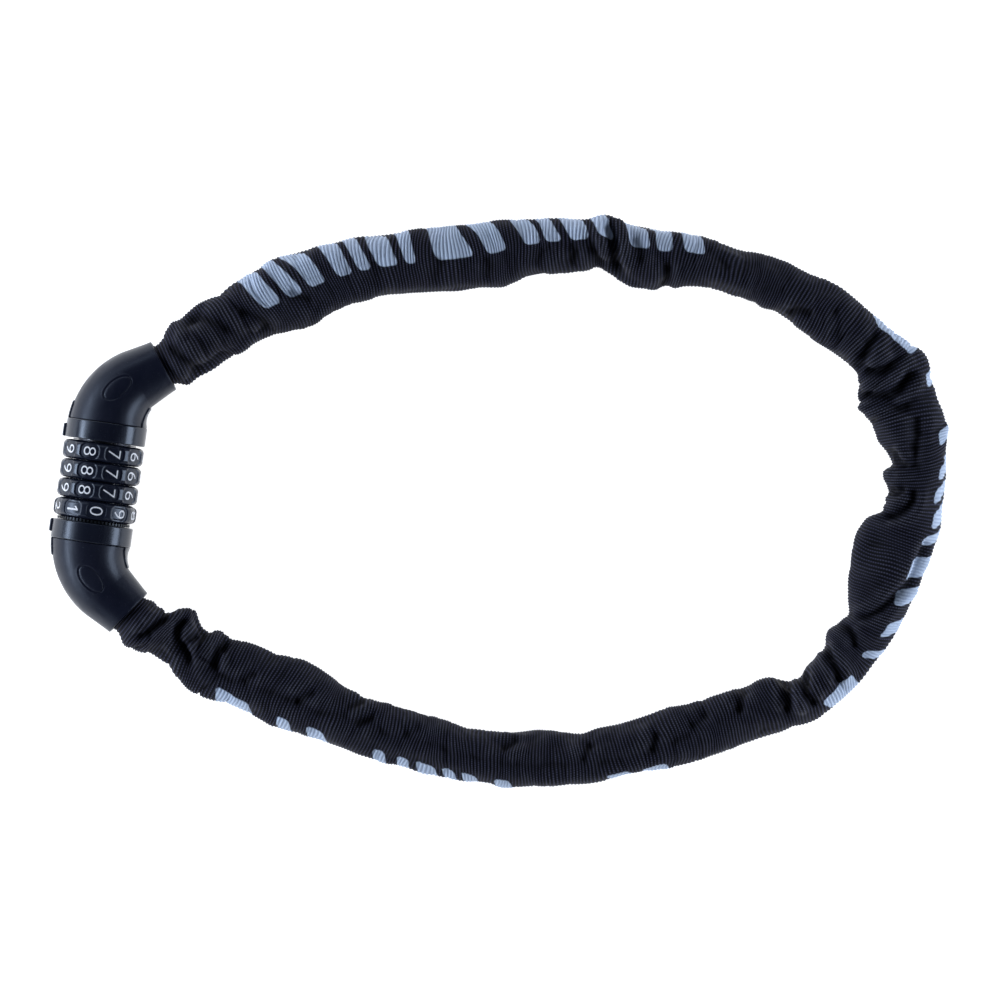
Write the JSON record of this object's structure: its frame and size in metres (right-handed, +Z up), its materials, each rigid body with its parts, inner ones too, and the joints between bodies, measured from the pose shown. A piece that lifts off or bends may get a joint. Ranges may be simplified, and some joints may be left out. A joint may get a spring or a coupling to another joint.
{
  "type": "combination chain lock",
  "caption": "Chain in a woven sleeve closed into a loop by a barrel with number dials and two bent ends, lying flat, with a plug that slides out.",
  "frame": {"origin": "middle of the outline, on the surface the lock lies on", "axes": "+X from the barrel across the loop, +Y along the barrel from the plug to the barrel's fixed end, +Z up"},
  "size_m": [0.268, 0.1751, 0.0252],
  "materials": {
    "housing_plastic": "satin moulded navy-black plastic",
    "dial_plastic": "satin moulded navy-black plastic with white digits",
    "core_metal": "turned steel",
    "steel": "zinc-plated hardened steel",
    "spring_steel": "bright spring steel",
    "brass": "turned brass",
    "sleeve_fabric": "ribbed woven black polyester with a pale reflective print"
  },
  "bodies": {
    "barrel": {"upper_collar": "housing_plastic", "upper_front_cover": "housing_plastic", "upper_back_cover": "housing_plastic", "barrel_core": "core_metal", "upper_anchor_pin": "steel", "upper_anchor_link": "steel", "detent_spring": "spring_steel", "bolt_spring": "spring_steel", "dial_washer": "spring_steel", "core_clip": "spring_steel"},
    "dial_a": {"dial_1": "dial_plastic", "code_ring_1": "brass"},
    "dial_b": {"dial_2": "dial_plastic", "code_ring_2": "brass"},
    "dial_c": {"dial_3": "dial_plastic", "code_ring_3": "brass"},
    "dial_d": {"dial_4": "dial_plastic", "code_ring_4": "brass"},
    "reset": {"reset_ring": "dial_plastic"},
    "plug": {"lower_collar": "housing_plastic", "lower_front_cover": "housing_plastic", "lower_back_cover": "housing_plastic", "plug_bolt": "core_metal", "lower_anchor_pin": "steel", "lower_anchor_link": "steel"},
    "upper_chain": {"upper_chain_links": "steel", "sleeve_upper": "sleeve_fabric"},
    "lower_chain": {"lower_chain_links": "steel", "sleeve_lower": "sleeve_fabric"}
  },
  "joints": [
    {"name": "plug_slide", "type": "slide", "parent": "barrel", "child": "plug", "axis": [0, -1, 0], "range_m": [0, 0.06]},
    {"name": "dial_1_turn", "type": "hinge", "parent": "barrel", "child": "dial_a", "pos_m": [-0.1213, -0.0052, 0.0126], "axis": [0, 1, 0], "continuous": true},
    {"name": "dial_2_turn", "type": "hinge", "parent": "barrel", "child": "dial_b", "pos_m": [-0.1213, -0.0111, 0.0126], "axis": [0, 1, 0], "continuous": true},
    {"name": "dial_3_turn", "type": "hinge", "parent": "barrel", "child": "dial_c", "pos_m": [-0.1213, -0.017, 0.0126], "axis": [0, 1, 0], "continuous": true},
    {"name": "dial_4_turn", "type": "hinge", "parent": "barrel", "child": "dial_d", "pos_m": [-0.1213, -0.0229, 0.0126], "axis": [0, 1, 0], "continuous": true},
    {"name": "reset_turn", "type": "hinge", "parent": "barrel", "child": "reset", "pos_m": [-0.1213, -0.0267, 0.0126], "axis": [0, 1, 0], "range_deg": [0, 90]},
    {"name": "upper_swing", "type": "hinge", "parent": "barrel", "child": "upper_chain", "pos_m": [-0.1068, 0.0236, 0.0126], "axis": [0, 0, 1], "range_deg": [-8, 0]},
    {"name": "far_fold", "type": "hinge", "parent": "upper_chain", "child": "lower_chain", "pos_m": [0.1195, -0.014, 0.0082], "axis": [0, 0, 1], "range_deg": [0, 16]}
  ],
  "couplings": [
    {"joint": "upper_swing", "follows": "plug_slide", "rad_per_m": -2.245},
    {"joint": "far_fold", "follows": "plug_slide", "rad_per_m": 4.47}
  ]
}
